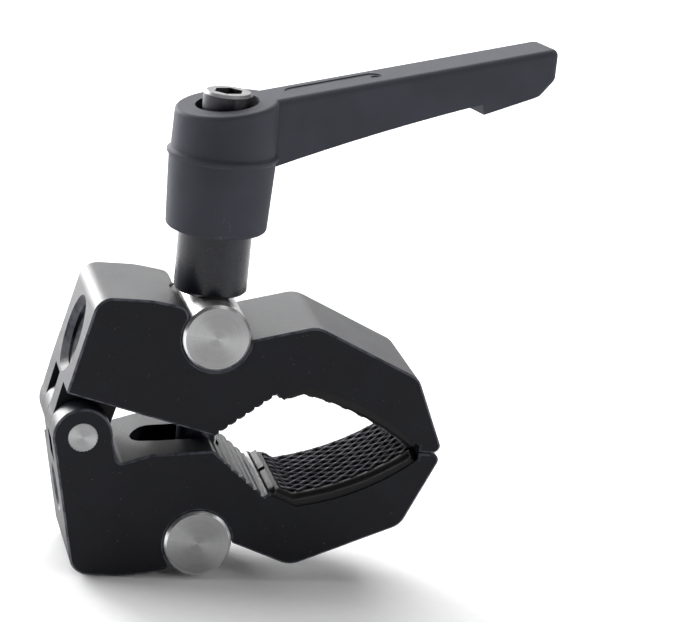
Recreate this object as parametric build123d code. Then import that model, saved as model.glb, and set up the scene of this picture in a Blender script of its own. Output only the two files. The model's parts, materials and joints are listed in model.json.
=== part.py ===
from build123d import *
import os
from math import atan2, cos, degrees, radians, sin

# Pipe clamp: two hinged jaws drawn together by a stud between two cross barrels
# (trunnions), tightened by an adjustable lever.
#
# Frame: millimetres. The origin is inside the closed grip, a fixed reach from the hinge,
# in the middle of the body's width; a held pipe's own axis settles a little farther out
# along +X, by its size. +Y runs along the pipe and the hinge pin,
# +Z along the stud towards the lever, +X towards the open mouth of the jaws.

# ---- driving dimensions -------------------------------------------------------------

body_width = 19.0           # both jaws, along the pipe
hinge_to_grip = 30.0        # hinge axis to the origin
hinge_to_stud = 18.2        # hinge axis to stud axis, jaws closed
trunnion_height = 15.8      # origin to either trunnion axis, along Z, jaws closed
opening_angle = 50.0        # how far the upper jaw swings

# Jaw outline. "Reach" is measured from the hinge axis along the parting line of the
# jaws, "rise" square to it, away from the other jaw.
parting_tilt = 0.83         # degrees that the parting line dips towards the mouth
parting_gap = 0.2           # left between the tips of the closed jaws
jaw_reach = 53.75
heel_rise = 21.2
heel_reach = 0.3
heel_lean_reach = -3.0      # on the upper jaw's rear face, just above the ears
heel_lean_rise = 6.6
heel_radius = 2.8
crown_reach = 8.0           # where the heel's flat end starts to fall to the lip
crown_radius = 14.0
lip_angle = 136.6           # upper jaw only: the lip's corner, seen from its barrel
lip_wall = 1.33             # from the pocket's wall to the lip's corner
lip_radius = 1.8
brow_reach = 32.65
brow_rise = 18.6
brow_radius = 3.8
shoulder_reach = 48.7
shoulder_rise = 11.5
shoulder_radius = 3.0
tip_radius = 1.0
nose_reach = 19.3
nose_rise = 1.15
nose_radius = 0.4
foot_angle = 128.0          # lower jaw only: the foot's corner, seen from its barrel
foot_wall = 0.5             # from the pocket's wall to the foot's corner
foot_radius = 0.9
deck_reach = 10.4           # lower jaw only: the deck between its ears and its nose
deck_rise = 2.15
deck_radius = 6.0
ear_root_reach = 5.4
ear_root_rise = 3.9
ear_root_radius = 0.9
edge_break = 0.3

# Teeth and pads
tooth_end_reach = 27.7
tooth_end_rise = 7.8
tooth_pitch = 1.55
tooth_depth = 0.42
tooth_count = 7
pad_heel_reach = 28.1
pad_heel_rise = 7.4
pad_corner_reach = 32.4
pad_corner_rise = 9.2
pad_middle_reach = 41.8
pad_middle_rise = 6.3
pad_toe_reach = 50.1
pad_toe_rise = 1.0
pad_thickness = 1.5
pad_lip_width = 1.3
pad_toe_length = 1.2
pad_side_gap = 0.3
pad_rim_bevel = 0.7

# Hinge
ear_radius = 4.35
knuckle_count = 4           # alternating lower, upper, lower, upper from the front
knuckle_side_gap = 0.12     # on each side of the upper jaw's knuckles
knuckle_merge = 0.25        # how far up the rear face a knuckle runs into the jaw
knuckle_root_reach = 5.6
knuckle_root_rise = 5.0
notch_floor_gap = 1.1
pin_radius = 2.2
pin_running_gap = 0.05
pin_end_inset = 0.1
knurl_length = 4.4
knurl_depth = 0.12
knurl_count = 26

# Trunnions and stud
trunnion_radius = 5.0
trunnion_proud = 0.3        # past each side of the jaws
trunnion_chamfer = 0.4
pocket_gap = 0.08
upper_heel_angle = 148.0    # edges of the pockets, seen from the barrels' axes
lower_heel_angle = 152.0
pocket_brow_angle = -1.5
pocket_edge_radius = 0.5
spotface_depth = 0.4
spotface_margin = 1.5       # spot-face past the collar, all round
stud_radius = 3.0
stud_hole_gap = 0.3
stud_tail = 4.4             # below the lower trunnion's axis
stud_thread_pitch = 1.0
stud_thread_depth = 0.55
stud_thread_gap = 0.1
stud_thread_start = 1.5     # above the upper trunnion's axis, jaws closed
slot_side_gap = 0.5         # each side of the stud
slot_swing_margin = 1.2     # degrees that the slots allow past the stud's swing
slot_reach = 9.9            # stud axis to the heel end of either slot

# Threaded mounting holes in the rear faces
large_hole_radius = 4.7625  # 3/8 inch nominal
large_hole_height = 12.9    # from the origin, along the stud
large_hole_depth = 9.0
large_hole_mouth_radius = 5.75
small_hole_radius = 3.175   # 1/4 inch nominal
small_hole_height = 11.1
small_hole_depth = 8.0
small_hole_mouth_radius = 3.6

# Lever. Heights are above the upper trunnion's axis.
lever_turn = 15.0           # degrees that the arm points away from +X at rest
lever_reach = 52.8
lever_width = 7.45
lever_edge_radius = 1.0
lever_tip_radius = 1.4
lever_slope = 0.165         # rise of the top over its run
lever_axis_height = 32.7    # top plane where it crosses the stud axis
hub_base_height = 14.0
hub_base_radius = 7.4
hub_rib_height = 25.0
hub_rib_width = 0.8
hub_waist_radius = 7.85
hub_rib_radius = 8.15
hub_neck_radius = 7.65
hub_top_radius = 7.45
hub_edge_radius = 0.6
hub_foot_radius = 0.7
arm_root_height = 23.9
arm_belly_reach = 24.0
arm_belly_height = 29.0
catch_reach = 40.2          # finger catch under the end of the arm
catch_height = 33.0
catch_drop = 1.6
chin_reach = 50.6
chin_height = 34.4
cheek_height = 36.8
panel_start = 9.0
panel_end = 24.5
panel_width = 3.4
panel_depth = 0.15
gate_radius = 0.6
gate_inset = 1.0

# Threaded insert, spring and screw inside the hub
collar_radius = 5.4
collar_gap = 0.02           # collar to spot-face, and hub to collar
collar_edge = 0.4
collar_relief_gap = 0.6
serration_count = 20
serration_height = 3.6
serration_crest = 5.0
serration_root = 4.5
serration_gap = 0.1
sleeve_radius = 4.4
sleeve_height = 22.0
sleeve_roof = 1.2           # solid end of the sleeve over the stud
neck_radius = 2.6
neck_height = 25.4
flange_gap = 0.1
flange_thickness = 1.3
flange_bore_gap = 0.3
screw_shank_radius = 2.0
screw_head_radius = 3.6
well_gap = 1.05             # round the screw's head
screw_head_base = 30.4
screw_head_height = 4.0
screw_head_chamfer = 0.4
screw_tip_height = 22.4
screw_end_gap = 0.1
hex_across_flats = 3.8
hex_depth = 2.2
spring_wire_radius = 0.3
spring_mean_radius = 3.15
spring_turns = 4

# ---- derived places -----------------------------------------------------------------

hinge_x = -hinge_to_grip
stud_x = hinge_x + hinge_to_stud
half_width = body_width / 2
trunnion_length = body_width + 2 * trunnion_proud
pocket_radius = trunnion_radius + pocket_gap
stud_swing = opening_angle / 2
collar_base = trunnion_radius - spotface_depth + collar_gap
stud_top = sleeve_height - sleeve_roof - 0.4
slot_width = 2 * (stud_radius + slot_side_gap)
well_radius = screw_head_radius + well_gap
big = 4 * jaw_reach
on_base = (Align.CENTER, Align.CENTER, Align.MIN)

UPPER = 1
LOWER = -1


def jaw_point(reach, rise, side):
    """A point of a jaw's outline, as (x, z), from its reach and rise."""
    tilt = radians(parting_tilt)
    x = hinge_x + reach * cos(tilt) + side * rise * sin(tilt)
    z = -reach * sin(tilt) + side * rise * cos(tilt)
    return (x, z)


def trunnion_centre(side):
    return (stud_x, side * trunnion_height)


def pocket_point(angle, side, wall=0):
    """A point on a pocket's wall, or outside it; the angle is mirrored for the lower jaw."""
    x, z = trunnion_centre(side)
    turn = radians(angle)
    away = pocket_radius + wall
    return (x + away * cos(turn), z + side * away * sin(turn))


def across(face, width):
    """Extrude a side-view face to a width centred on the body."""
    return extrude(Plane.XZ * face, amount=width / 2, both=True)


def polygon(*points):
    return make_face(Polyline(*points, close=True))


def rounded(corners):
    """A face from (x, z, radius) corners."""
    points = [(x, z) for x, z, _ in corners]
    radii = [radius for _, _, radius in corners]
    return make_face(FilletPolyline(*points, radius=radii, close=True))


def side_edges(solid):
    """Edges of the two flat sides of a solid that was extruded across the body."""
    sides = solid.faces().sort_by(Axis.Y)
    return sides[0].edges() + sides[-1].edges()


# ---- shared jaw features --------------------------------------------------------------

def jaw_blank(side, front_corners, back_corners):
    """The jaw's outline with its trunnion pocket, as a plate with broken edges.

    Front corners run from the brow side of the pocket to the nose, back corners
    from the nose to the heel side of the pocket.
    """
    centre = trunnion_centre(side)
    heel_angle = upper_heel_angle if side == UPPER else lower_heel_angle
    edges = [pocket_point(heel_angle, side), pocket_point(pocket_brow_angle, side)]
    outline = [(*centre, 0), (*edges[1], 0)] + front_corners + back_corners + [(*edges[0], 0)]
    face = rounded(outline) - Pos(*centre) * Circle(pocket_radius)
    corners = [face.vertices().sort_by_distance((*edge, 0))[0] for edge in edges]
    face = fillet(corners, pocket_edge_radius)
    plate = across(face, body_width)
    return chamfer(side_edges(plate), edge_break)


def front_outline(side):
    """Corners from the brow over the tip and back along the grip to the nose."""
    half_gap = parting_gap / 2
    corners = [
        (brow_reach, brow_rise, brow_radius),
        (shoulder_reach, shoulder_rise, shoulder_radius),
        (jaw_reach, half_gap, tip_radius),
        (pad_toe_reach, half_gap, 0),
        (pad_toe_reach, pad_toe_rise, 0),
        (pad_heel_reach, pad_heel_rise, 0),
        (tooth_end_reach, tooth_end_rise, 0),
        (nose_reach, nose_rise, nose_radius),
    ]
    return [(*jaw_point(reach, rise, side), radius) for reach, rise, radius in corners]


def pad_back(side):
    """The pad's back: a short flat, then an arc to the toe."""
    heel = jaw_point(pad_heel_reach, pad_heel_rise, side)
    corner = jaw_point(pad_corner_reach, pad_corner_rise, side)
    middle = jaw_point(pad_middle_reach, pad_middle_rise, side)
    toe = jaw_point(pad_toe_reach, pad_toe_rise, side)
    return heel, corner, middle, toe


def pad_seat(side):
    """Everything on the working side of the pad's back."""
    heel, corner, middle, toe = pad_back(side)
    past = -pad_corner_rise
    return make_face(
        Curve()
        + Line(heel, corner)
        + ThreePointArc(corner, middle, toe)
        + Polyline(
            toe,
            jaw_point(pad_toe_reach, past, side),
            jaw_point(pad_heel_reach, past, side),
            heel,
        )
    )


def tooth_grooves(side):
    """V grooves across the flat between the nose and the pad."""
    start = Vector(*jaw_point(nose_reach, nose_rise, side))
    end = Vector(*jaw_point(tooth_end_reach, tooth_end_rise, side))
    along = (end - start).normalized()
    lean = degrees(atan2(along.Y, along.X))
    side_length = 2 ** 0.5 * tooth_depth
    groove = Rot(0, 0, lean + 45) * Rectangle(side_length, side_length)
    cuts = []
    for index in range(tooth_count):
        place = end - along * (tooth_pitch * (index + 0.3))
        cuts.append(across(Pos(place.X, place.Y) * groove, big))
    return cuts


def stud_slot(side):
    """Room for the stud's swing between the pocket and the jaw's inner face."""
    x, z = trunnion_centre(side)
    half = slot_width / 2
    lean = radians(stud_swing + slot_swing_margin)
    depth = trunnion_height + slot_width
    top_left = x - half / cos(lean)
    fan = polygon(
        (x + half, z),
        (x + half, z - side * depth),
        (top_left - depth * sin(lean) / cos(lean), z - side * depth),
        (top_left, z),
    )
    obround_length = slot_reach + half
    plan = Pos(x + half - obround_length / 2, 0) * SlotOverall(obround_length, slot_width)
    return across(fan, slot_width) & extrude(plan, amount=big, both=True)


def rear_hole(side, height, radius, mouth_radius, depth):
    """A countersunk blind hole square to the jaw's rear face."""
    foot = Vector(hinge_x - ear_radius, 0)
    if side == UPPER:
        foot = Vector(*jaw_point(heel_lean_reach, heel_lean_rise, side))
    along = (Vector(*jaw_point(heel_reach, heel_rise, side)) - foot).normalized()
    centre = foot + along * ((side * height - foot.Y) / along.Y)
    outward = Vector(-side * along.Y, 0, side * along.X)
    mouth = Plane(origin=(centre.X, 0, centre.Y), x_dir=(0, 1, 0), z_dir=outward)
    sink = mouth_radius - radius
    hole = Pos(0, 0, -depth) * Cylinder(radius, depth, align=on_base)
    hole += Pos(0, 0, -sink) * Cone(radius, mouth_radius + sink, 2 * sink, align=on_base)
    return mouth * hole


def hinge_bore(radius):
    return Pos(hinge_x, 0, 0) * Rot(90, 0, 0) * Cylinder(radius, big)


# ---- jaws -----------------------------------------------------------------------------

def knuckles(side, gap):
    """Middle and width, along Y, of each hinge knuckle of one jaw."""
    width = body_width / knuckle_count
    first = 0 if side == LOWER else 1
    starts = [-half_width + index * width for index in range(first, knuckle_count, 2)]
    return [(start + width / 2, width - 2 * gap) for start in starts]


def upper_knuckle():
    """Side view of a knuckle: a round end running into the jaw's rear face."""
    lean = Vector(*jaw_point(heel_lean_reach, heel_lean_rise, UPPER))
    heel = Vector(*jaw_point(heel_reach, heel_rise, UPPER))
    inside = lean + (heel - lean) * knuckle_merge
    flanks = polygon(
        (hinge_x - ear_radius, 0),
        (lean.X, lean.Y),
        (inside.X, inside.Y),
        jaw_point(crown_reach, heel_rise / 2, UPPER),
        jaw_point(knuckle_root_reach, knuckle_root_rise, UPPER),
        (hinge_x + ear_radius, 0),
    )
    return flanks + Pos(hinge_x, 0) * Circle(ear_radius)


def knuckle_notch():
    """Side view of the room that an upper knuckle swings in, open to the rear."""
    reach = ear_radius + notch_floor_gap
    room = polygon(
        (hinge_x + reach, 0),
        (hinge_x + reach, big),
        (hinge_x - big, big),
        (hinge_x - big, -reach),
        (hinge_x, -reach),
    )
    return room + Pos(hinge_x, 0) * Circle(reach)


def upper_jaw():
    back = [
        (heel_lean_reach, heel_lean_rise, edge_break),
        (heel_reach, heel_rise, heel_radius),
        (crown_reach, heel_rise, crown_radius),
    ]
    back = [(*jaw_point(reach, rise, UPPER), radius) for reach, rise, radius in back]
    back += [(*pocket_point(lip_angle, UPPER, lip_wall), lip_radius)]
    jaw = jaw_blank(UPPER, front_outline(UPPER), back)
    for middle, width in knuckles(UPPER, knuckle_side_gap):
        jaw += Pos(0, middle, 0) * across(upper_knuckle(), width)
    jaw -= across(pad_seat(UPPER), big)
    for groove in tooth_grooves(UPPER):
        jaw -= groove
    jaw -= stud_slot(UPPER)
    jaw -= hinge_bore(pin_radius + pin_running_gap)
    jaw -= rear_hole(
        UPPER, large_hole_height, large_hole_radius, large_hole_mouth_radius, large_hole_depth
    )
    relief = Cylinder(collar_radius + collar_relief_gap, big, align=on_base)
    jaw -= Pos(stud_x, 0, trunnion_height + collar_base - collar_relief_gap) * relief
    return jaw


def lower_jaw():
    rear = [
        (deck_reach, deck_rise, deck_radius),
        (ear_root_reach, ear_root_rise, ear_root_radius),
    ]
    heel = [(heel_reach, heel_rise, heel_radius), (crown_reach, heel_rise, crown_radius)]
    back = [(*jaw_point(reach, rise, LOWER), radius) for reach, rise, radius in rear]
    back += [(hinge_x + ear_radius, 0, 0), (hinge_x - ear_radius, 0, 0)]
    back += [(*jaw_point(reach, rise, LOWER), radius) for reach, rise, radius in heel]
    back += [(*pocket_point(foot_angle, LOWER, foot_wall), foot_radius)]
    jaw = jaw_blank(LOWER, front_outline(LOWER), back)
    ear = Pos(hinge_x, 0, 0) * Rot(90, 0, 0) * Cylinder(ear_radius, body_width)
    jaw += chamfer(ear.edges(), edge_break)
    for middle, width in knuckles(UPPER, 0):
        jaw -= Pos(0, middle, 0) * across(knuckle_notch(), width)
    jaw -= across(pad_seat(LOWER), big)
    for groove in tooth_grooves(LOWER):
        jaw -= groove
    jaw -= stud_slot(LOWER)
    jaw -= hinge_bore(pin_radius)
    jaw -= rear_hole(
        LOWER, small_hole_height, small_hole_radius, small_hole_mouth_radius, small_hole_depth
    )
    return jaw


def grip_pad(side):
    """A rubber pad on its seat, with a raised lip at the heel and bevelled sides."""
    heel, corner, middle, toe = pad_back(side)
    lip = Vector(pad_heel_reach, pad_heel_rise) + Vector(
        pad_lip_width * cos(radians(35)), -pad_lip_width * sin(radians(35))
    )
    face_corner = (pad_corner_reach - 0.4, pad_corner_rise - pad_thickness)
    face_middle = (pad_middle_reach - 0.7, pad_middle_rise - pad_thickness)
    face_toe = (pad_toe_reach - pad_toe_length, parting_gap)
    front_corner, front_middle, front_toe = (
        jaw_point(*point, side) for point in (face_corner, face_middle, face_toe)
    )
    outline = make_face(
        Curve()
        + Line(heel, corner)
        + ThreePointArc(corner, middle, toe)
        + Line(toe, front_toe)
        + ThreePointArc(front_toe, front_middle, front_corner)
        + Line(front_corner, jaw_point(lip.X, lip.Y, side))
        + Line(jaw_point(lip.X, lip.Y, side), heel)
    )
    pad = across(outline, body_width - 2 * pad_side_gap)
    working = pad.faces().sort_by_distance((*front_middle[:1], 0, front_middle[1]))[0]
    rims = [edge for edge in working.edges() if abs(edge.center().Y) > half_width / 2]
    return chamfer(rims, pad_rim_bevel)


# ---- hinge pin, trunnions and stud --------------------------------------------------

def star_prism(count, crest, root, height):
    """A prism with straight V serrations, standing on its base."""
    points = []
    for index in range(2 * count):
        radius = crest if index % 2 == 0 else root
        turn = radians(180 * index / count)
        points.append((radius * cos(turn), radius * sin(turn)))
    return extrude(polygon(*points), amount=height)


def hinge_pin():
    length = body_width - 2 * pin_end_inset
    plain = Cylinder(pin_radius, length - knurl_length, align=on_base)
    plain = chamfer(plain.edges().sort_by(Axis.Z)[-1], edge_break)
    root = pin_radius - knurl_depth
    knurl = Pos(0, 0, -knurl_length) * star_prism(knurl_count, pin_radius, root, knurl_length)
    pin = Pos(0, 0, knurl_length - length / 2) * (plain + knurl)
    return Pos(hinge_x, 0, 0) * Rot(-90, 0, 0) * pin


def trunnion_blank(side):
    barrel = Cylinder(trunnion_radius, trunnion_length)
    barrel = chamfer(barrel.edges(), trunnion_chamfer)
    x, z = trunnion_centre(side)
    return Pos(x, 0, z) * Rot(90, 0, 0) * barrel


def upper_trunnion():
    x, z = trunnion_centre(UPPER)
    barrel = trunnion_blank(UPPER) - Pos(x, 0, z) * Cylinder(stud_radius + stud_hole_gap, big)
    spotface = Cylinder(collar_radius + spotface_margin, big, align=on_base)
    return barrel - Pos(x, 0, z + trunnion_radius - spotface_depth) * spotface


def lower_trunnion():
    x, z = trunnion_centre(LOWER)
    return trunnion_blank(LOWER) - Pos(x, 0, z) * Cylinder(stud_radius, big)


def clamp_stud():
    """Plain shank with closed thread rings on its upper part."""
    bottom = -trunnion_height - stud_tail
    start = trunnion_height + stud_thread_start
    top = trunnion_height + stud_top
    crest = stud_radius
    root = stud_radius - stud_thread_depth
    points = [(0, bottom), (crest - edge_break, bottom), (crest, bottom + edge_break), (crest, start)]
    crest -= stud_thread_gap / 2
    rings = int((top - start) / stud_thread_pitch) - 1
    for index in range(rings):
        ring = start + index * stud_thread_pitch
        points += [
            (crest, ring + stud_thread_gap),
            (root, ring + stud_thread_pitch / 2),
            (crest, ring + stud_thread_pitch),
        ]
    points += [(root, ring + 1.5 * stud_thread_pitch), (root, top), (0, top)]
    profile = Plane.XZ * polygon(*points)
    return Pos(stud_x, 0, 0) * revolve(profile, Axis.Z)


# ---- lever ----------------------------------------------------------------------------

def on_stud(solid):
    """Move a solid from the upper trunnion's own frame to its place, lever turned."""
    return Pos(stud_x, 0, trunnion_height) * Rot(0, 0, lever_turn) * solid


def ring_up(radius, low, high):
    """A cylinder on the stud axis between two heights."""
    return Pos(0, 0, low) * Cylinder(radius, high - low, align=on_base)


def threaded_insert():
    thread_radius = stud_radius + stud_thread_gap
    insert = chamfer(ring_up(collar_radius, collar_base, hub_base_height).edges(), collar_edge)
    insert += ring_up(sleeve_radius, hub_base_height, sleeve_height)
    insert += ring_up(neck_radius, sleeve_height, neck_height)
    insert += Pos(0, 0, hub_base_height) * star_prism(
        serration_count, serration_crest, serration_root, serration_height
    )
    insert -= ring_up(thread_radius, 0, sleeve_height - sleeve_roof)
    insert -= ring_up(screw_shank_radius, screw_tip_height - screw_end_gap, neck_height)
    return on_stud(insert)


def top_height(reach):
    return lever_axis_height + lever_slope * reach


def hub_blank():
    half_rib = hub_rib_width / 2
    over = lever_axis_height + lever_slope * 2 * hub_rib_radius
    profile = polygon(
        (0, hub_base_height),
        (hub_base_radius, hub_base_height),
        (hub_waist_radius, hub_rib_height - half_rib),
        (hub_rib_radius, hub_rib_height),
        (hub_rib_radius, hub_rib_height + half_rib),
        (hub_neck_radius, hub_rib_height + 2 * half_rib),
        (hub_top_radius, over),
        (0, over),
    )
    hub = revolve(Plane.XZ * profile, Axis.Z)
    foot = hub.edges().sort_by(Axis.Z)[0]
    return fillet(foot, hub_foot_radius)


def arm_blank():
    tip_top = top_height(lever_reach)
    drop_reach = catch_reach + catch_drop / 4
    side_view = make_face(
        Curve()
        + Line((0, top_height(0)), (0, arm_root_height))
        + Line((0, arm_root_height), (hub_neck_radius - 1, arm_root_height))
        + ThreePointArc(
            (hub_neck_radius - 1, arm_root_height),
            (arm_belly_reach, arm_belly_height),
            (catch_reach, catch_height),
        )
        + Polyline(
            (catch_reach, catch_height),
            (drop_reach, catch_height - catch_drop),
            (chin_reach, chin_height),
            (lever_reach, cheek_height),
            (lever_reach, tip_top),
            (0, top_height(0)),
        )
    )
    arm = across(side_view, lever_width)
    ends = arm.edges().filter_by(Axis.Z).sort_by(Axis.X)[-2:]
    arm = fillet(ends, lever_tip_radius)
    top = arm.faces().sort_by(Axis.Z)[-1]
    return fillet([edge for edge in top.edges() if edge.center().X > hub_edge_radius], lever_edge_radius)


def lever_handle():
    hub = hub_blank()
    slope = degrees(atan2(lever_slope, 1))
    above = Plane(origin=(0, 0, lever_axis_height)) * Rot(0, -slope, 0)
    sky = above * Box(big, big, big, align=on_base)
    hub -= sky
    rim = hub.faces().sort_by_distance((0, 0, lever_axis_height))[0].edges()
    hub = fillet(rim, hub_edge_radius)
    handle = hub + arm_blank()
    spline_crest = serration_crest + serration_gap
    spline_root = serration_root + serration_gap
    spline_top = hub_base_height + serration_height
    handle -= star_prism(serration_count, spline_crest, spline_root, spline_top)
    chamber_radius = serration_crest + 2 * serration_gap
    handle -= ring_up(chamber_radius, spline_top, sleeve_height + flange_gap)
    flange_top = sleeve_height + flange_gap + flange_thickness
    handle -= ring_up(neck_radius + flange_bore_gap, sleeve_height, flange_top)
    handle -= ring_up(well_radius, flange_top, big)
    middle = (panel_start + panel_end) / 2
    panel = SlotOverall(panel_end - panel_start, panel_width)
    panel_cut = extrude(panel, amount=panel_depth, both=True)
    handle -= Pos(middle, 0, top_height(middle)) * Rot(0, -slope, 0) * panel_cut
    gate = panel_end - gate_inset
    handle -= Pos(gate, 0, top_height(gate)) * Rot(0, -slope, 0) * Cylinder(gate_radius, 4 * panel_depth)
    return on_stud(handle)


def retaining_screw():
    head_top = screw_head_base + screw_head_height
    head = ring_up(screw_head_radius, screw_head_base, head_top)
    head = chamfer(head.edges().sort_by(Axis.Z)[-1], screw_head_chamfer)
    screw = head + ring_up(screw_shank_radius, screw_tip_height, screw_head_base)
    socket = RegularPolygon(hex_across_flats / 2, 6, major_radius=False)
    screw -= Pos(0, 0, head_top - hex_depth) * extrude(socket, amount=hex_depth)
    return on_stud(screw)


def handle_spring():
    """Closed-end helix between the hub's flange and the screw's head."""
    flange_top = sleeve_height + flange_gap + flange_thickness
    low = flange_top + spring_wire_radius + collar_gap
    high = screw_head_base - spring_wire_radius - collar_gap
    height = high - low
    path = Helix(height / spring_turns, height, spring_mean_radius, center=(0, 0, low))
    wire = Plane(origin=path @ 0, z_dir=path % 0) * Circle(spring_wire_radius)
    return on_stud(sweep(wire, path=path, is_frenet=True))


# ---- write one file for each piece ------------------------------------------------------

pieces = {
    "lower_jaw": lower_jaw,
    "upper_jaw": upper_jaw,
    "lower_pad": lambda: grip_pad(LOWER),
    "upper_pad": lambda: grip_pad(UPPER),
    "hinge_pin": hinge_pin,
    "lower_trunnion": lower_trunnion,
    "upper_trunnion": upper_trunnion,
    "clamp_stud": clamp_stud,
    "threaded_insert": threaded_insert,
    "lever_handle": lever_handle,
    "retaining_screw": retaining_screw,
    "handle_spring": handle_spring,
}

os.makedirs("parts", exist_ok=True)
for name, make in pieces.items():
    solid = make()
    solid.label = name
    export_step(solid, f"parts/{name}.step")
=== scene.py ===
import json
from math import ceil, cos, pi, radians, sin

import bmesh
import bpy
from mathutils import Matrix, Vector
from mathutils.bvhtree import BVHTree


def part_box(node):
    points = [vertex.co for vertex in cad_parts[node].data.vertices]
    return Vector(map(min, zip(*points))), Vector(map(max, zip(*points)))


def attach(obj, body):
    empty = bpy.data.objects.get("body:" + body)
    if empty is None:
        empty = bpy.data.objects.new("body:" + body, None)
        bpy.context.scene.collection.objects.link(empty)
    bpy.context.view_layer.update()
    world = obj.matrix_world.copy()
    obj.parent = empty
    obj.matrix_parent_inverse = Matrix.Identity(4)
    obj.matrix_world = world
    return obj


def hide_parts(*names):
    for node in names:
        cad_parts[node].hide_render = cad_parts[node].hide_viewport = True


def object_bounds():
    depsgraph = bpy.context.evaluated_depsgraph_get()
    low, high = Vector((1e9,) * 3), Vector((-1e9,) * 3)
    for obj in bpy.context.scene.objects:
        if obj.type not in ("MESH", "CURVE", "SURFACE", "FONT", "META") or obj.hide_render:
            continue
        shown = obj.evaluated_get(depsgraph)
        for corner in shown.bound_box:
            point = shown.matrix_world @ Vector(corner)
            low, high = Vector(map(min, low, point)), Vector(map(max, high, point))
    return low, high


bl_info = {
    "name": "Pipe Clamp",
    "version": (1, 0, 0),
    "blender": (4, 5, 0),
    "location": "3D View > Sidebar > Clamp",
    "description": "Dresses the pipe clamp: rubber pads, threads, finishes and a small studio",
    "category": "Object",
}

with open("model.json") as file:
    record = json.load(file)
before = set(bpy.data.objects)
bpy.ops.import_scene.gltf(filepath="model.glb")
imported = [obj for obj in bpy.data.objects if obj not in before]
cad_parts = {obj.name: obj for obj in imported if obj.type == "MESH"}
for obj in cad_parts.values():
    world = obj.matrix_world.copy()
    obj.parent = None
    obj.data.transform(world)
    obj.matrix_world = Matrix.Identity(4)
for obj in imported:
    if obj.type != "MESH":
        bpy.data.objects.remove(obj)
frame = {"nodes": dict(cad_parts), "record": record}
CAD_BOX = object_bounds()
NODES = frame["nodes"]
MOUNTS = {mount["name"]: mount for mount in frame["record"]["mounts"]}
MM = 0.001

# Plain colours that no setting changes
SCUFF = (0.16, 0.165, 0.18)
OXIDE_EDGE = (0.10, 0.10, 0.11)
SCREW_SIDE = ((0.045, 0.045, 0.052), (0.075, 0.075, 0.082))
SPRING_WIRE = ((0.30, 0.29, 0.28), (0.46, 0.45, 0.43))

# Details of the pads, along the grip from the heel
TOE_MARGIN = 1.1 * MM
PAD_MESH = 0.11 * MM
GROOVE_DEPTH = 0.26 * MM
NOTCH_DEPTH = 0.30 * MM
HEEL_ROUND = 0.4 * MM
HEEL_DROP = 0.45 * MM


# ---- places taken from the frame ------------------------------------------------------

def centre_of(node):
    """Middle of a node's box, in metres."""
    low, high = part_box(node)
    return (low + high) / 2


def surface_of(node):
    """The node's own surface, for rays to be cast at."""
    mesh = NODES[node].data
    points = [vertex.co.copy() for vertex in mesh.vertices]
    faces = [tuple(face.vertices) for face in mesh.polygons]
    return BVHTree.FromPolygons(points, faces)


# ---- sizes and colours ------------------------------------------------------------------

class ClampPadSettings(bpy.types.PropertyGroup):
    """Rubber pads of both jaws."""

    ridge_height: bpy.props.FloatProperty(
        name="Ridge height", description="From the valleys to the crests of the crossed ridges",
        default=0.46 * MM, min=0.0, unit="LENGTH",
    )
    ridge_half_width: bpy.props.FloatProperty(
        name="Ridge half width", description="From a ridge's crest to its foot",
        default=0.24 * MM, min=0.0, unit="LENGTH",
    )
    cell_length: bpy.props.FloatProperty(
        name="Diamond length", description="Length of one diamond along the grip",
        default=2.75 * MM, min=0.0005, unit="LENGTH",
    )
    cell_width: bpy.props.FloatProperty(
        name="Diamond width", description="Width of one diamond along the pipe",
        default=1.8 * MM, min=0.0005, unit="LENGTH",
    )
    rim_width: bpy.props.FloatProperty(
        name="Rim width", description="Smooth border outside the ridges",
        default=1.6 * MM, min=0.0, unit="LENGTH",
    )
    rim_drop: bpy.props.FloatProperty(
        name="Rim drop", description="How far the smooth border falls towards the jaw's side",
        default=0.62 * MM, min=0.0, unit="LENGTH",
    )
    bar_width: bpy.props.FloatProperty(
        name="Heel bar width", description="Plain bar at the hinge end of the pad",
        default=1.3 * MM, min=0.0, unit="LENGTH",
    )
    notch_width: bpy.props.FloatProperty(
        name="Notch width", description="Small notch in the middle of the heel bar",
        default=0.7 * MM, min=0.0, unit="LENGTH",
    )
    colour: bpy.props.FloatVectorProperty(
        name="Rubber", description="Colour of the pads' rubber",
        subtype="COLOR", size=3, min=0.0, max=1.0, default=(0.0045, 0.0045, 0.0055),
    )
    # Colour of the lighter crests, heel bar and rim: partly dust, partly a painted highlight.
    crest_dust_and_highlight: bpy.props.FloatVectorProperty(
        name="Worn crests", description="Colour of the rubbed crests of the ridges",
        subtype="COLOR", size=3, min=0.0, max=1.0, default=(0.26, 0.26, 0.29),
    )


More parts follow.
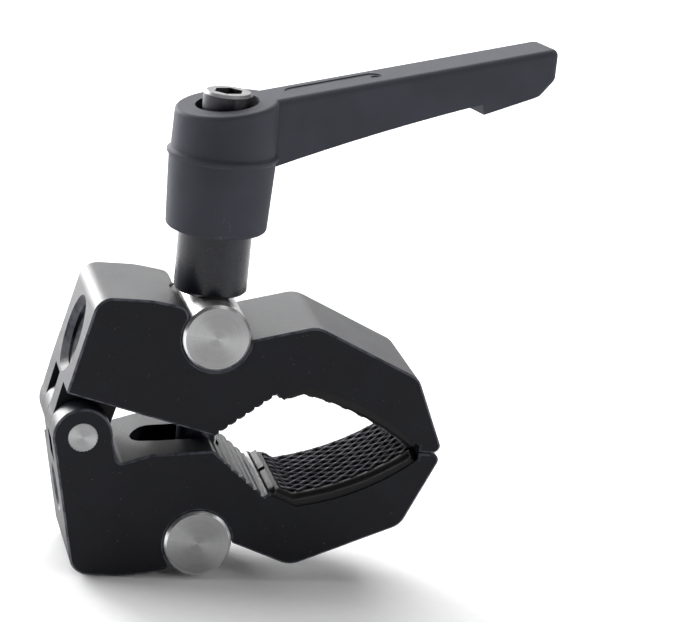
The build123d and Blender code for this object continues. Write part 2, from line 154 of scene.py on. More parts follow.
class ClampMetalSettings(bpy.types.PropertyGroup):
    """Finishes of the jaws, barrels and screws."""

    anodised: bpy.props.FloatVectorProperty(
        name="Anodised", description="Colour of the jaws' black anodising",
        subtype="COLOR", size=3, min=0.0, max=1.0, default=(0.0046, 0.0050, 0.0074),
    )
    anodised_roughness: bpy.props.FloatProperty(
        name="Anodised roughness", description="How matt the jaws' anodising is",
        default=0.34, min=0.0, max=1.0, subtype="FACTOR",
    )
    blast_grain: bpy.props.FloatProperty(
        name="Blasted grain", description="Size of the blasted grain under the anodising",
        default=0.22 * MM, min=0.00005, unit="LENGTH",
    )
    # Colour of the jaws' worn edges, also used for their painted edge highlight and the painted glints
    # on their top faces.
    edge_wear_and_glint: bpy.props.FloatVectorProperty(
        name="Edge wear", description="Colour of the jaws' thin broken edges",
        subtype="COLOR", size=3, min=0.0, max=1.0, default=(0.085, 0.088, 0.106),
    )
    stainless: bpy.props.FloatVectorProperty(
        name="Stainless", description="Colour of the turned barrels and the pin",
        subtype="COLOR", size=3, min=0.0, max=1.0, default=(0.56, 0.56, 0.565),
    )
    black_steel: bpy.props.FloatVectorProperty(
        name="Black steel", description="Colour of the insert's collar and the stud",
        subtype="COLOR", size=3, min=0.0, max=1.0, default=(0.0055, 0.0062, 0.0105),
    )
    turning_pitch: bpy.props.FloatProperty(
        name="Turning pitch", description="Spacing of the turning marks on barrel ends",
        default=0.16 * MM, min=0.00002, unit="LENGTH",
    )
    # Colour of the painted highlight on the chamfers of the barrels and the pin.
    painted_rim_highlight: bpy.props.FloatVectorProperty(
        name="Bright rim", description="Colour of the bright chamfers of barrels and pin",
        subtype="COLOR", size=3, min=0.0, max=1.0, default=(0.86, 0.86, 0.87),
    )
    # Angle of the painted highlight fans on the turned ends.
    painted_fan_turn: bpy.props.FloatProperty(
        name="Fan angle", description="Where the bright fans lie on the turned ends",
        default=radians(60.0), subtype="ANGLE",
    )
    large_pitch: bpy.props.FloatProperty(
        name="3/8 thread pitch", description="Pitch of the upper jaw's mounting thread",
        default=25.4 / 16 * MM, min=0.0002, unit="LENGTH",
    )
    small_pitch: bpy.props.FloatProperty(
        name="1/4 thread pitch", description="Pitch of the lower jaw's mounting thread",
        default=25.4 / 20 * MM, min=0.0002, unit="LENGTH",
    )


class ClampLeverSettings(bpy.types.PropertyGroup):
    """Finish of the lever."""

    colour: bpy.props.FloatVectorProperty(
        name="Lever", description="Colour of the lever's matt skin",
        subtype="COLOR", size=3, min=0.0, max=1.0, default=(0.040, 0.0416, 0.0525),
    )
    roughness: bpy.props.FloatProperty(
        name="Lever roughness", description="How matt the lever is",
        default=0.56, min=0.0, max=1.0, subtype="FACTOR",
    )
    grain: bpy.props.FloatProperty(
        name="Grain size", description="Size of the moulded grain",
        default=0.35 * MM, min=0.00005, unit="LENGTH",
    )


class ClampStudioSettings(bpy.types.PropertyGroup):
    """Camera, floor and lights."""

    azimuth: bpy.props.FloatProperty(
        name="Azimuth", description="Turn of the camera from straight in front",
        default=radians(13.23), subtype="ANGLE",
    )
    elevation: bpy.props.FloatProperty(
        name="Elevation", description="Height of the camera over the clamp",
        default=radians(16.29), subtype="ANGLE",
    )
    roll: bpy.props.FloatProperty(
        name="Roll", description="Tilt of the picture", default=radians(-6.17), subtype="ANGLE",
    )
    distance: bpy.props.FloatProperty(
        name="Distance", description="Camera to the point it looks at",
        default=441.0 * MM, min=0.05, unit="LENGTH",
    )
    look_right: bpy.props.FloatProperty(
        name="Look right", description="From the upper barrel to the picture's middle, across",
        default=19.26 * MM, unit="LENGTH",
    )
    look_up: bpy.props.FloatProperty(
        name="Look up", description="From the upper barrel to the picture's middle, upwards",
        default=1.16 * MM, unit="LENGTH",
    )
    lens: bpy.props.FloatProperty(
        name="Lens", description="Focal length on a 36 mm sensor", default=159.76, min=10.0,
    )
    floor_colour: bpy.props.FloatVectorProperty(
        name="Floor", description="Colour of the pale floor",
        subtype="COLOR", size=3, min=0.0, max=1.0, default=(0.93, 0.93, 0.935),
    )
    sky: bpy.props.FloatProperty(
        name="Room light", description="Strength of the light from all round",
        default=0.05, min=0.0,
    )


# ---- shader helpers -----------------------------------------------------------------------

class Value:
    """A shader socket that can stand in Python expressions."""

    def __init__(self, shader, socket):
        self.shader = shader
        self.socket = socket

    def _math(self, operation, *values):
        return self.shader.add("ShaderNodeMath", {"operation": operation}, dict(enumerate(values)))

    def __add__(self, other):
        return self._math("ADD", self, other)

    def __radd__(self, other):
        return self._math("ADD", other, self)

    def __sub__(self, other):
        return self._math("SUBTRACT", self, other)

    def __rsub__(self, other):
        return self._math("SUBTRACT", other, self)

    def __mul__(self, other):
        return self._math("MULTIPLY", self, other)

    def __rmul__(self, other):
        return self._math("MULTIPLY", other, self)

    def __truediv__(self, other):
        return self._math("DIVIDE", self, other)

    def __pow__(self, other):
        return self._math("POWER", self, other)

    def __abs__(self):
        return self._math("ABSOLUTE", self)

    def sine(self):
        return self._math("SINE", self)

    def turn_from(self, other):
        """The angle whose tangent is this value over the other."""
        return self._math("ARCTAN2", self, other)

    def square_root(self):
        return self._math("SQRT", self)

    def larger(self, other):
        return self._math("MAXIMUM", self, other)

    def ramp(self, low, high):
        """0 below low, 1 above high, smooth between; low may be above high."""
        flip = low > high
        low, high = min(low, high), max(low, high)
        ends = (1.0, 0.0) if flip else (0.0, 1.0)
        return self.shader.add(
            "ShaderNodeMapRange", {"interpolation_type": "SMOOTHSTEP"},
            {"Value": self, "From Min": low, "From Max": high, "To Min": ends[0], "To Max": ends[1]},
        )


class Shader:
    """A material and the nodes that are added to it."""

    def __init__(self, name):
        self.material = bpy.data.materials.new(name)
        self.material.use_nodes = True
        self.tree = self.material.node_tree
        self.tree.nodes.clear()
        self.output = self.tree.nodes.new("ShaderNodeOutputMaterial")
        self.surface = self.tree.nodes.new("ShaderNodeBsdfPrincipled")
        self.tree.links.new(self.surface.outputs[0], self.output.inputs["Surface"])

    def add(self, kind, settings=None, inputs=None, output=0):
        """Add a node: its settings first, then the values or links of its sockets."""
        node = self.tree.nodes.new(kind)
        for name, value in (settings or {}).items():
            setattr(node, name, value)
        for key, value in (inputs or {}).items():
            self.join(self._socket(node, key), value)
        return Value(self, node.outputs[output])

    def _socket(self, node, key):
        if isinstance(key, int):
            return node.inputs[key]
        named = [socket for socket in node.inputs if socket.identifier == key]
        return named[0] if named else node.inputs[key]

    def join(self, socket, value):
        """Link a Value into a socket, or set the socket's own value."""
        if isinstance(value, Value):
            self.tree.links.new(value.socket, socket)
        elif socket.type == "RGBA" and len(value) == 3:
            socket.default_value = (*value, 1.0)
        else:
            socket.default_value = value

    def finish(self, **sockets):
        """Fill sockets of the surface shader; underscores stand for spaces."""
        for name, value in sockets.items():
            self.join(self.surface.inputs[name.replace("_", " ")], value)
        return self.material

    # places and patterns

    def place(self):
        """The point on the object, in metres in the frame."""
        return self.add("ShaderNodeTexCoord", output="Object")

    def parts(self, vector):
        """The three parts of a vector."""
        first = self.add("ShaderNodeSeparateXYZ", inputs={0: vector})
        node = first.socket.node
        return [Value(self, node.outputs[axis]) for axis in range(3)]

    def facing(self):
        """The three parts of the surface's direction."""
        return self.parts(self.add("ShaderNodeNewGeometry", output="Normal"))

    def noise(self, size, detail=2.0, roughness=0.5, stretch=(1.0, 1.0, 1.0), offset=(0.0, 0.0, 0.0)):
        """Soft noise from 0 to 1 whose lumps are about size metres across."""
        point = self.add(
            "ShaderNodeMapping", {"vector_type": "POINT"},
            {"Vector": self.place(), "Scale": stretch, "Location": offset},
        )
        return self.add(
            "ShaderNodeTexNoise", {"noise_dimensions": "3D"},
            {"Vector": point, "Scale": 1.0 / size, "Detail": detail, "Roughness": roughness},
        )

    def line_noise(self, along, size, detail=2.0):
        """Noise that changes along one value only."""
        return self.add(
            "ShaderNodeTexNoise", {"noise_dimensions": "1D"},
            {"W": along, "Scale": 1.0 / size, "Detail": detail},
        )

    def mix(self, factor, first, second):
        """Blend two colours."""
        return self.add(
            "ShaderNodeMix", {"data_type": "RGBA", "clamp_factor": True},
            {"Factor_Float": factor, "A_Color": first, "B_Color": second}, output=2,
        )

    def bump(self, height, depth, strength=1.0, under=None):
        """A bump of the given depth in metres, on top of another if given."""
        inputs = {"Height": height, "Distance": depth, "Strength": strength}
        if under is not None:
            inputs["Normal"] = under
        return self.add("ShaderNodeBump", inputs=inputs)


# ---- finishes -------------------------------------------------------------------------------

def anodised_finish(settings):
    """Satin black anodising over a fine blasted grain; the broken edges are lighter, partly worn thin
    and partly a painted highlight, and the top faces carry painted glints.
    """
    shader = Shader("anodised_black")
    grain = shader.noise(settings.blast_grain, detail=3.0, roughness=0.65)
    cloud = shader.noise(7.0 * MM, detail=3.0)
    speck = shader.noise(0.5 * MM, detail=1.0).ramp(0.70, 0.78)
    across = abs(shader.facing()[1])
    # Painted highlight, partly real wear: faces sloping between the front and the top or back (the
    # chamfers) are lightened towards the edge colour.
    edge = across.ramp(0.30, 0.55) * across.ramp(0.97, 0.85)
    edge_rub_and_highlight = edge * (0.35 + 0.65 * shader.noise(1.4 * MM, detail=2.0).ramp(0.35, 0.6))
    # Painted glint: grain flecks are lightened, but only on faces that do not face the front or back.
    painted_top_glint = grain.ramp(0.50, 0.72) * across.ramp(0.6, 0.3)
    base = shader.mix(cloud.ramp(0.3, 0.7), settings.anodised, tuple(1.5 * c for c in settings.anodised))
    base = shader.mix(0.35 * painted_top_glint, base, settings.edge_wear_and_glint)
    base = shader.mix((0.4 * speck).larger(edge_rub_and_highlight), base, settings.edge_wear_and_glint)
    rough = settings.anodised_roughness + 0.08 * cloud + 0.14 * grain - 0.08 * edge_rub_and_highlight
    normal = shader.bump(grain, 0.022 * MM, strength=0.6)
    return shader.finish(
        Base_Color=base, Roughness=rough, Normal=normal, IOR=1.45, Specular_IOR_Level=0.22
    )


def turned_finish(settings, centre, name):
    """Stainless steel turned in a lathe about an axis along Y through a centre."""
    shader = Shader(name)
    x, y, z = shader.parts(shader.place())
    from_x = x - centre.x
    from_z = z - centre.z
    radius = (from_x * from_x + from_z * from_z).square_root()
    facing = abs(shader.facing()[1])
    end_face = facing.ramp(0.80, 0.95)
    chamfer = facing.ramp(0.30, 0.50) * facing.ramp(0.95, 0.85)
    along = radius * end_face + y * (1.0 - end_face)
    turn = from_z.turn_from(from_x)
    # Painted highlight: bright fans on the turned ends stand in for the lights' reflection, and the
    # spokes streak them.
    painted_fans = ((turn + settings.painted_fan_turn) * 2.0).sine() * 0.5 + 0.5
    spokes = shader.line_noise((turn * 3.0).sine() + turn, 0.22, detail=3.0)
    painted_fans = (painted_fans ** 2.5) * (0.55 + 0.45 * spokes)
    rings = shader.line_noise(along, settings.turning_pitch, detail=2.0)
    bands = shader.line_noise(along, 6.0 * settings.turning_pitch, detail=1.0)
    smudge = shader.noise(2.6 * MM, detail=3.0)
    # Painted shade: the end faces get a darker base than the sides and are lit only by the painted fans;
    # rings, bands and smudges are the turned finish.
    shade = 0.20 + 0.55 * painted_fans * end_face + 0.30 * (rings - 0.5) + 0.25 * (bands - 0.5)
    shade = shade + 0.20 * (smudge - 0.5) + 0.35 * (1.0 - end_face)
    dark = tuple(0.42 * c for c in settings.stainless)
    base = shader.mix(shade, dark, settings.stainless)
    # Painted highlight: the chamfers are lightened towards the bright rim colour.
    base = shader.mix(0.85 * chamfer, base, settings.painted_rim_highlight)
    rough = 0.30 + 0.10 * smudge + 0.10 * rings - 0.12 * chamfer
    height = 0.7 * rings + 0.5 * bands
    normal = shader.bump(height, 0.006 * MM, strength=0.8)
    return shader.finish(Base_Color=base, Roughness=rough, Normal=normal, Metallic=1.0)


def black_steel_finish(settings, name):
    """Black oxide over steel turned about an axis along Z."""
    shader = Shader(name)
    z = shader.parts(shader.place())[2]
    ring = shader.line_noise(z, 0.22 * MM, detail=3.0)
    patch = shader.noise(3.0 * MM, detail=3.0)
    upright = abs(shader.facing()[2])
    edge = upright.ramp(0.25, 0.5) * upright.ramp(0.95, 0.8)
    base = shader.mix(
        patch.ramp(0.35, 0.75), settings.black_steel, tuple(1.8 * c for c in settings.black_steel)
    )
    base = shader.mix(0.6 * edge, base, OXIDE_EDGE)
    rough = 0.20 + 0.10 * patch + 0.06 * ring
    normal = shader.bump(ring, 0.006 * MM, strength=0.5)
    return shader.finish(
        Base_Color=base, Roughness=rough, Normal=normal, IOR=1.5, Specular_IOR_Level=0.4
    )


def lever_finish(settings, hub):
    """Dark blue-grey moulded skin with a soft grain and faint scuffs near the hub's foot."""
    shader = Shader("lever_blue_grey")
    grain = shader.noise(settings.grain, detail=3.0, roughness=0.55)
    cloud = shader.noise(9.0 * MM, detail=2.0)
    z = shader.parts(shader.place())[2]
    scratch = shader.noise(0.35 * MM, detail=2.0, stretch=(1.0, 1.0, 0.22), offset=(0.3, 0.1, 0.2))
    near_foot = z.ramp(hub.z + 8.0 * MM, hub.z - 2.0 * MM)
    scuff = scratch.ramp(0.66, 0.74) * shader.noise(3.5 * MM, detail=1.0).ramp(0.5, 0.62) * near_foot
    base = shader.mix(cloud.ramp(0.3, 0.7), settings.colour, tuple(1.22 * c for c in settings.colour))
    base = shader.mix(0.6 * scuff, base, SCUFF)
    rough = settings.roughness + 0.09 * cloud + 0.10 * grain - 0.08 * scuff
    normal = shader.bump(grain, 0.014 * MM, strength=0.55)
    return shader.finish(
        Base_Color=base, Roughness=rough, Normal=normal, IOR=1.5, Specular_IOR_Level=0.14
    )


def rubber_finish(settings):
    """Black rubber; its crests, heel bar and rim are lighter, partly dust and partly a painted
    highlight.
    """
    shader = Shader("pad_rubber")
    crest = shader.add("ShaderNodeAttribute", {"attribute_name": "crest"}, output="Fac")
    grain = shader.noise(0.10 * MM, detail=3.0, roughness=0.6)
    dust = shader.noise(1.8 * MM, detail=3.0)
    # Partly dust, partly a painted highlight on the crests, the heel bar and the rim.
    dust_and_highlight = crest.ramp(0.40, 1.0) * (0.45 + 0.55 * dust.ramp(0.3, 0.65))
    base = shader.mix(dust.ramp(0.3, 0.8), settings.colour, tuple(1.5 * c for c in settings.colour))
    base = shader.mix(dust_and_highlight, base, settings.crest_dust_and_highlight)
    rough = 0.50 + 0.14 * grain + 0.08 * dust - 0.06 * dust_and_highlight
    normal = shader.bump(grain, 0.014 * MM, strength=0.6)
    return shader.finish(
        Base_Color=base, Roughness=rough, Normal=normal, IOR=1.5, Specular_IOR_Level=0.3
    )


def screw_finish(settings, top):
    """Dull plated steel: dark rolled sides, a top painted greyer as if lit from above, and a thin
    painted highlight on its rim.
    """
    shader = Shader("screw_steel")
    z = shader.parts(shader.place())[2]
    upright = shader.facing()[2]
    patch = shader.noise(1.2 * MM, detail=3.0)
    rolled = shader.noise(0.25 * MM, detail=2.0, stretch=(1.0, 1.0, 0.15))
    near_top = z.ramp(top - 0.55 * MM, top - 0.35 * MM)
    # Painted light: the flat top is coloured lighter, as if lit from above.
    painted_lit_top = upright.ramp(0.88, 0.97) * near_top
    # Painted highlight: the sloped faces of the rim just under the top are lightened.
    rim = upright.ramp(0.30, 0.60) * upright.ramp(0.95, 0.85) * near_top
    base = shader.mix(patch.ramp(0.3, 0.7), *SCREW_SIDE)
    base = shader.mix(painted_lit_top, base, tuple(0.16 * c for c in settings.stainless))
    base = shader.mix(0.3 * rim, base, settings.stainless)
    rough = 0.38 + 0.12 * patch + 0.08 * painted_lit_top
    normal = shader.bump(rolled, 0.010 * MM, strength=0.5)
    return shader.finish(Base_Color=base, Roughness=rough, Normal=normal, Metallic=0.9)


def spring_finish():
    """Drawn spring wire with faint lengthwise marks."""
    shader = Shader("spring_wire")
    drawn = shader.noise(0.12 * MM, detail=3.0, stretch=(1.0, 1.0, 4.0))
    patch = shader.noise(0.9 * MM, detail=2.0)
    base = shader.mix(patch.ramp(0.3, 0.7), *SPRING_WIRE)
    rough = 0.30 + 0.15 * drawn
    normal = shader.bump(drawn, 0.006 * MM, strength=0.5)
    return shader.finish(Base_Color=base, Roughness=rough, Normal=normal, Metallic=1.0)


def floor_finish(settings):
    """Pale matt paper with an almost invisible tooth."""
    shader = Shader("pale_floor")
    tooth = shader.noise(1.5 * MM, detail=3.0)
    base = shader.mix(
        tooth.ramp(0.3, 0.7), settings.floor_colour, tuple(0.985 * c for c in settings.floor_colour)
    )
    normal = shader.bump(tooth, 0.02 * MM, strength=0.2)
    return shader.finish(Base_Color=base, Roughness=0.75 + 0.1 * tooth, Normal=normal)


def dress(node, material):
    """Give a carried-over node its finish."""
    node_object = NODES[node]
    if not node_object.material_slots:
        node_object.data.materials.append(material)
    for slot in node_object.material_slots:
        slot.material = material


# ---- mesh helpers -----------------------------------------------------------------------------

def new_piece(name, bm, material, smooth_angle=40.0):
    """Turn a bmesh into a piece with smooth faces and sharp creases."""
    bmesh.ops.recalc_face_normals(bm, faces=bm.faces)
    for face in bm.faces:
        face.smooth = True
    for edge in bm.edges:
        if len(edge.link_faces) == 2 and edge.calc_face_angle(0.0) > radians(smooth_angle):
            edge.smooth = False
    mesh = bpy.data.meshes.new(name)
    bm.to_mesh(mesh)
    bm.free()
    piece = bpy.data.objects.new(name, mesh)
    bpy.context.scene.collection.objects.link(piece)
    piece.data.materials.append(material)
    return piece


def smooth_step(value, low, high):
    share = min(1.0, max(0.0, (value - low) / (high - low)))
    return share * share * (3.0 - 2.0 * share)


def profile_of(node, upward, count=260):
    """The node's working face in its middle plane, as (x, z) points from low x to high x.

    Rays go up or down from the pipe axis; the first hit is the working face.
    """
    surface = surface_of(node)
    low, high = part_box(node)
    middle = (low.y + high.y) / 2
    direction = Vector((0.0, 0.0, 1.0 if upward else -1.0))
    start_z = low.z - 1.0 * MM if upward else high.z + 1.0 * MM
    points = []
    for index in range(count + 1):
        x = low.x + (high.x - low.x) * (0.001 + 0.998 * index / count)
        hit = surface.ray_cast(Vector((x, middle, start_z)), direction)[0]
        if hit is not None:
            points.append((hit.x, hit.z))
    return points


def along_lengths(points):
    """Running length at each point of a line."""
    lengths = [0.0]
    for first, second in zip(points, points[1:]):
        lengths.append(lengths[-1] + (Vector(second) - Vector(first)).length)
    return lengths


def resampled(points, step):
    """The same line with points about step apart, as (point, direction, length)."""
    lengths = along_lengths(points)
    total = lengths[-1]
    count = ceil(total / step)
    found = []
    index = 0
    for number in range(count + 1):
        wanted = total * number / count
        while index < len(lengths) - 2 and lengths[index + 1] < wanted:
            index += 1
        span = lengths[index + 1] - lengths[index]
        share = (wanted - lengths[index]) / span
        point = Vector(points[index]).lerp(Vector(points[index + 1]), share)
        found.append((point, wanted))
    line = []
    for number, (point, wanted) in enumerate(found):
        before = found[max(0, number - 3)][0]
        after = found[min(count, number + 3)][0]
        line.append((point, (after - before).normalized(), wanted))
    return line


# ---- rubber pads ------------------------------------------------------------------------------

def ridge_share(length, across, settings):
    """0 in the middle of a diamond, 1 on the crest of a ridge."""
    best = 0.0
    for lean in (1.0, -1.0):
        phase = length / settings.cell_length + lean * across / settings.cell_width
        off = abs(phase - round(phase))
        slope = (settings.cell_length ** -2 + settings.cell_width ** -2) ** 0.5
        gap = off / slope
        best = max(best, 1.0 - gap / settings.ridge_half_width)
    return min(1.0, max(0.0, best) * 1.15)


def pad_relief(length, y, half, toe_at, settings):
    """How far the pad stands out of the plain face at a point, and how much dust and painted highlight
    it takes there.
    """
    heel_at = settings.bar_width
    rim_width = settings.rim_width
    inside = half - abs(y)
    on_rim = 1.0 - smooth_step(inside, 0.0, rim_width)
    ridged = smooth_step(inside, rim_width, rim_width + 0.25 * MM)
    ridged *= smooth_step(length, heel_at + 0.75 * MM, heel_at + 1.0 * MM)
    ridged *= 1.0 - smooth_step(length, toe_at - 0.3 * MM, toe_at)
    crest = ridge_share(length, y, settings) * ridged
    groove = smooth_step(length, heel_at, heel_at + 0.2 * MM) * (1.0 - on_rim)
    groove *= 1.0 - smooth_step(length, heel_at + 0.35 * MM, heel_at + 0.75 * MM)
    notch = 1.0 - smooth_step(abs(y), settings.notch_width / 2, settings.notch_width)
    notch *= 1.0 - smooth_step(length, heel_at - 0.1 * MM, heel_at + 0.1 * MM)
    rise = settings.ridge_height * (smooth_step(crest, 0.0, 1.0) - 0.4 * ridged)
    rise -= settings.rim_drop * on_rim ** 1.3 * smooth_step(length, 0.0, 0.6 * MM)
    rise -= GROOVE_DEPTH * groove + NOTCH_DEPTH * notch
    rise -= HEEL_DROP * (1.0 - smooth_step(length, 0.0, HEEL_ROUND))
    on_bar = 1.0 - smooth_step(length, heel_at - 0.15 * MM, heel_at)
    edge = smooth_step(length, 0.25 * MM, 0.45 * MM)
    # The lighter share, partly dust and partly painted highlight: the crests fully, the heel bar and the
    # rim in part.
    return rise, max(crest, 0.36 * on_bar * edge * (1.0 - notch), 0.2 * on_rim)


def pad_piece(name, node, upward, settings, material):
    """A rubber pad: bevelled smooth rim, heel bar with a notch, crossed ridges between."""
    low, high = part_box(node)
    half = (high.y - low.y) / 2
    middle = (low.y + high.y) / 2
    line = resampled(profile_of(node, upward), PAD_MESH)
    toe_at = line[-1][2] - TOE_MARGIN
    columns = 2 * ceil(half / PAD_MESH)
    bm = bmesh.new()
    crest_layer = bm.verts.layers.float.new("crest")
    rows = []
    for point, direction, length in line:
        outward = Vector((direction.y, -direction.x)) if upward else Vector((-direction.y, direction.x))
        row = []
        for column in range(columns + 1):
            y = -half + 2 * half * column / columns
            rise, dust_and_highlight = pad_relief(length, y, half, toe_at, settings)
            place = point + outward * rise
            vertex = bm.verts.new((place.x, middle + y, place.y))
            vertex[crest_layer] = dust_and_highlight
            row.append(vertex)
        rows.append(row)
    for first, second in zip(rows, rows[1:]):
        for column in range(columns):
            bm.faces.new((first[column], first[column + 1], second[column + 1], second[column]))
    back_rows = [
        [bm.verts.new((x, middle + side * half, z)) for side in (-1, 1)]
        for x, z in back_line(node, upward, line)
    ]
    for index in range(len(rows) - 1):
        first, second = back_rows[index], back_rows[index + 1]
        bm.faces.new((first[1], first[0], second[0], second[1]))
        bm.faces.new((rows[index][0], rows[index + 1][0], second[0], first[0]))
        bm.faces.new((rows[index + 1][-1], rows[index][-1], first[1], second[1]))
    for row, pair in ((rows[0], back_rows[0]), (rows[-1], back_rows[-1])):
        bm.faces.new((*row, pair[1], pair[0]))
    return new_piece(name, bm, material, smooth_angle=55.0)


def back_line(node, upward, line):
    """Points on the pad's back, opposite each point of its working face."""
    surface = surface_of(node)
    low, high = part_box(node)
    middle = (low.y + high.y) / 2
    direction = Vector((0.0, 0.0, -1.0 if upward else 1.0))
    start_z = high.z + 1.0 * MM if upward else low.z - 1.0 * MM
    points = []
    for point, _, _ in line:
        x = min(max(point.x, low.x + 0.02 * MM), high.x - 0.02 * MM)
        hit = surface.ray_cast(Vector((x, middle, start_z)), direction)[0]
        points.append((hit.x, hit.z) if hit is not None else (point.x, point.y))
    return points


# ---- threads in the mounting holes ----------------------------------------------------------------

def thread_piece(name, mount, pitch, material):
    """A helical ridge on the wall of a threaded hole."""
    axis = Vector(mount["axis"]).normalized()
    radius = mount["dims"]["r_mm"] * MM
    length = mount["dims"]["length_mm"] * MM
    start = Vector(mount["pos_m"]) - axis * (length / 2)
    side = axis.cross(Vector((0.0, 1.0, 0.0))).normalized()
    other = axis.cross(side)
    depth = 0.54 * pitch
    per_turn = 48
    turns = length / pitch - 0.8
    steps = int(turns * per_turn)
    section = ((0.02, -0.46), (-depth / pitch, -0.08), (-depth / pitch, 0.08), (0.02, 0.46))
    bm = bmesh.new()
    rows = []
    for step in range(steps + 1):
        turn = 2 * pi * step / per_turn
        rise = pitch * (0.5 + step / per_turn)
        fade = min(1.0, step / (0.25 * per_turn), (steps - step) / (0.25 * per_turn))
        out = side * cos(turn) + other * sin(turn)
        row = []
        for inward, shift in section:
            inward = 0.02 + (inward - 0.02) * max(0.05, fade)
            place = start + axis * (rise + shift * pitch) + out * (radius + inward * pitch)
            row.append(bm.verts.new(place))
        rows.append(row)
    for first, second in zip(rows, rows[1:]):
        for index in range(len(section)):
            after = (index + 1) % len(section)
            bm.faces.new((first[index], first[after], second[after], second[index]))
    bm.faces.new(rows[0])
    bm.faces.new(list(reversed(rows[-1])))
    return new_piece(name, bm, material, smooth_angle=30.0)


# ---- operators --------------------------------------------------------------------------------------

class CLAMP_OT_jaws(bpy.types.Operator):
    """Finish both jaws in black anodising and cut the threads of their mounting holes"""

    bl_idname = "clamp.jaws"
    bl_label = "Jaws"

    def execute(self, context):
        metal = context.scene.clamp_metal
        anodised = anodised_finish(metal)
        for node in ("lower_jaw", "upper_jaw"):
            dress(node, anodised)
        threads = (
            ("thread_ridges_large", "thread_3_8", metal.large_pitch, "upper_jaw_body"),
            ("thread_ridges_small", "thread_1_4", metal.small_pitch, "lower_jaw_body"),
        )
        for name, mount, pitch, body in threads:
            piece = thread_piece(name, MOUNTS[mount], pitch, anodised)
            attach(piece, body)
        return {"FINISHED"}


class CLAMP_OT_pads(bpy.types.Operator):
    """Mould the two rubber pads with their crossed ridges"""

    bl_idname = "clamp.pads"
    bl_label = "Pads"

    def execute(self, context):
        settings = context.scene.clamp_pads
        rubber = rubber_finish(settings)
        pads = (
            ("lower_pad_rubber", "lower_pad", False, "lower_jaw_body"),
            ("upper_pad_rubber", "upper_pad", True, "upper_jaw_body"),
        )
        for name, node, upward, body in pads:
            piece = pad_piece(name, node, upward, settings, rubber)
            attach(piece, body)
            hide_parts(node)
        return {"FINISHED"}


class CLAMP_OT_barrels(bpy.types.Operator):
    """Finish the hinge pin and both cross barrels in turned stainless steel"""

    bl_idname = "clamp.barrels"
    bl_label = "Pin and barrels"

    def execute(self, context):
        metal = context.scene.clamp_metal
        for node in ("hinge_pin", "lower_trunnion", "upper_trunnion"):
            dress(node, turned_finish(metal, centre_of(node), "turned_" + node))
        return {"FINISHED"}


class CLAMP_OT_stud(bpy.types.Operator):
    """Finish the stud and the threaded insert in black steel"""

    bl_idname = "clamp.stud"
    bl_label = "Stud and insert"

    def execute(self, context):
        metal = context.scene.clamp_metal
        for node in ("clamp_stud", "threaded_insert"):
            dress(node, black_steel_finish(metal, "black_" + node))
        return {"FINISHED"}


class CLAMP_OT_lever(bpy.types.Operator):
    """Finish the lever, its retaining screw and its spring"""

    bl_idname = "clamp.lever"
    bl_label = "Lever"

    def execute(self, context):
        hub = Vector(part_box("lever_handle")[0])
        dress("lever_handle", lever_finish(context.scene.clamp_lever, hub))
        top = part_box("retaining_screw")[1].z
        dress("retaining_screw", screw_finish(context.scene.clamp_metal, top))
        dress("handle_spring", spring_finish())
        return {"FINISHED"}


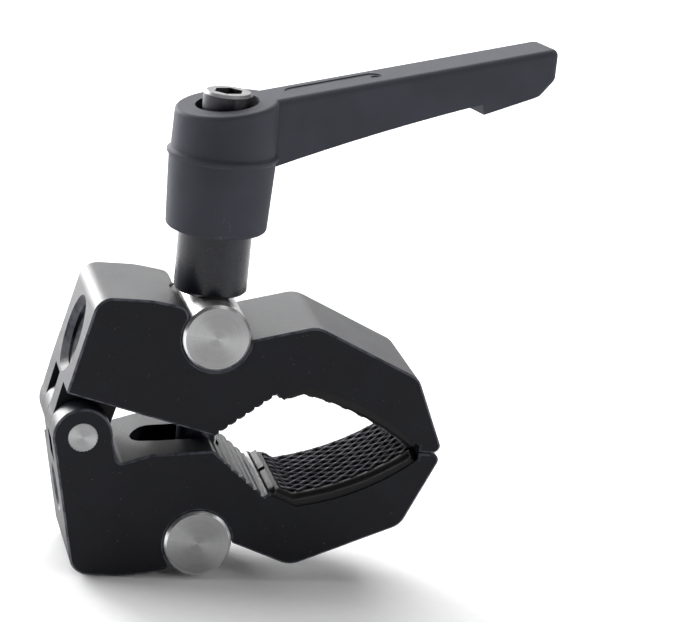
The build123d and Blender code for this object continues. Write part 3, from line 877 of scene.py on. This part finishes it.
class CLAMP_OT_studio(bpy.types.Operator):
    """Set up the pale floor, soft lights and camera"""

    bl_idname = "clamp.studio"
    bl_label = "Studio"

    def execute(self, context):
        studio = context.scene.clamp_studio
        self.floor(studio)
        self.lights()
        self.room(context.scene, studio)
        self.camera(context.scene, studio)
        return {"FINISHED"}

    def floor(self, studio):
        """A pale sheet that curves up behind the clamp."""
        ground = CAD_BOX[0][2] - 0.2 * MM
        bm = bmesh.new()
        reach, bend, wall, width = 1.2, 0.5, 1.2, 2.4
        line = [(-reach, 0.0), (reach - bend, 0.0)]
        for step in range(1, 13):
            turn = radians(90.0 * step / 12)
            line.append((reach - bend + bend * sin(turn), bend - bend * cos(turn)))
        line.append((reach, wall))
        rows = [[bm.verts.new((side * width, y, ground + z)) for side in (-1, 1)] for y, z in line]
        for first, second in zip(rows, rows[1:]):
            bm.faces.new((first[0], first[1], second[1], second[0]))
        sheet = new_piece("studio_floor", bm, floor_finish(studio), smooth_angle=60.0)

    def lights(self):
        """Large soft lights: overhead, behind and at both sides."""
        places = (
            ("overhead_light", (0.10, 0.30, 0.85), (0.0, 0.02, 0.02), 0.9, 7.0),
            ("back_light", (0.10, 1.05, 0.62), (0.0, 0.0, 0.02), 0.9, 11.0),
            ("rear_left_light", (-0.45, 0.85, 0.24), (-0.03, 0.0, 0.01), 0.42, 15.0),
            ("left_light", (-0.85, 0.40, 0.36), (-0.03, 0.0, 0.01), 0.6, 7.0),
            ("right_light", (0.78, -0.58, 0.34), (0.0, 0.0, 0.03), 0.7, 4.0),
        )
        for name, place, target, size, power in places:
            light = bpy.data.lights.new(name, "AREA")
            light.shape = "SQUARE"
            light.size = size
            light.energy = power
            lamp = bpy.data.objects.new(name, light)
            bpy.context.scene.collection.objects.link(lamp)
            lamp.location = place
            lamp.rotation_euler = (Vector(target) - Vector(place)).to_track_quat("-Z", "Y").to_euler()

    def room(self, scene, studio):
        world = bpy.data.worlds.new("studio_room")
        scene.world = world
        world.use_nodes = True
        background = world.node_tree.nodes["Background"]
        background.inputs["Color"].default_value = (0.97, 0.98, 1.0, 1.0)
        background.inputs["Strength"].default_value = studio.sky
        scene.view_settings.view_transform = "Standard"

    def camera(self, scene, studio):
        """Aim at a point beside the upper barrel from the given direction."""
        forward = Vector((
            sin(studio.azimuth) * cos(studio.elevation),
            cos(studio.azimuth) * cos(studio.elevation),
            -sin(studio.elevation),
        ))
        level = Vector((cos(studio.azimuth), -sin(studio.azimuth), 0.0))
        down = forward.cross(level)
        right = cos(studio.roll) * level + sin(studio.roll) * down
        up = sin(studio.roll) * level - cos(studio.roll) * down
        aim = centre_of("upper_trunnion") + right * studio.look_right + up * studio.look_up
        lens = bpy.data.cameras.new("camera")
        lens.sensor_width = 36.0
        lens.lens = studio.lens
        lens.clip_start = 0.01
        camera = bpy.data.objects.new("camera", lens)
        scene.collection.objects.link(camera)
        turn = Matrix((right, up, -forward)).transposed().to_4x4()
        camera.matrix_world = Matrix.Translation(aim - forward * studio.distance) @ turn
        scene.camera = camera


class CLAMP_PT_panel(bpy.types.Panel):
    """Lists the clamp's operators and sizes"""

    bl_label = "Pipe Clamp"
    bl_idname = "CLAMP_PT_panel"
    bl_space_type = "VIEW_3D"
    bl_region_type = "UI"
    bl_category = "Clamp"

    def draw(self, context):
        for operator in OPERATORS:
            self.layout.operator(operator.bl_idname)
        for name in SETTINGS:
            settings = getattr(context.scene, name)
            for prop in settings.bl_rna.properties:
                if not prop.is_readonly and prop.identifier != "name":
                    self.layout.prop(settings, prop.identifier)


SETTINGS = {
    "clamp_pads": ClampPadSettings,
    "clamp_metal": ClampMetalSettings,
    "clamp_lever": ClampLeverSettings,
    "clamp_studio": ClampStudioSettings,
}
OPERATORS = (
    CLAMP_OT_jaws,
    CLAMP_OT_pads,
    CLAMP_OT_barrels,
    CLAMP_OT_stud,
    CLAMP_OT_lever,
    CLAMP_OT_studio,
)


def register():
    for group in (*SETTINGS.values(), *OPERATORS, CLAMP_PT_panel):
        bpy.utils.register_class(group)
    for name, group in SETTINGS.items():
        setattr(bpy.types.Scene, name, bpy.props.PointerProperty(type=group))


def unregister():
    for name in SETTINGS:
        delattr(bpy.types.Scene, name)
    for group in (CLAMP_PT_panel, *OPERATORS, *SETTINGS.values()):
        bpy.utils.unregister_class(group)


def main():
    """Build the clamp piece by piece."""
    register()
    bpy.ops.clamp.jaws()
    bpy.ops.clamp.pads()
    bpy.ops.clamp.barrels()
    bpy.ops.clamp.stud()
    bpy.ops.clamp.lever()
    bpy.ops.clamp.studio()


if __name__ == "__main__":
    main()
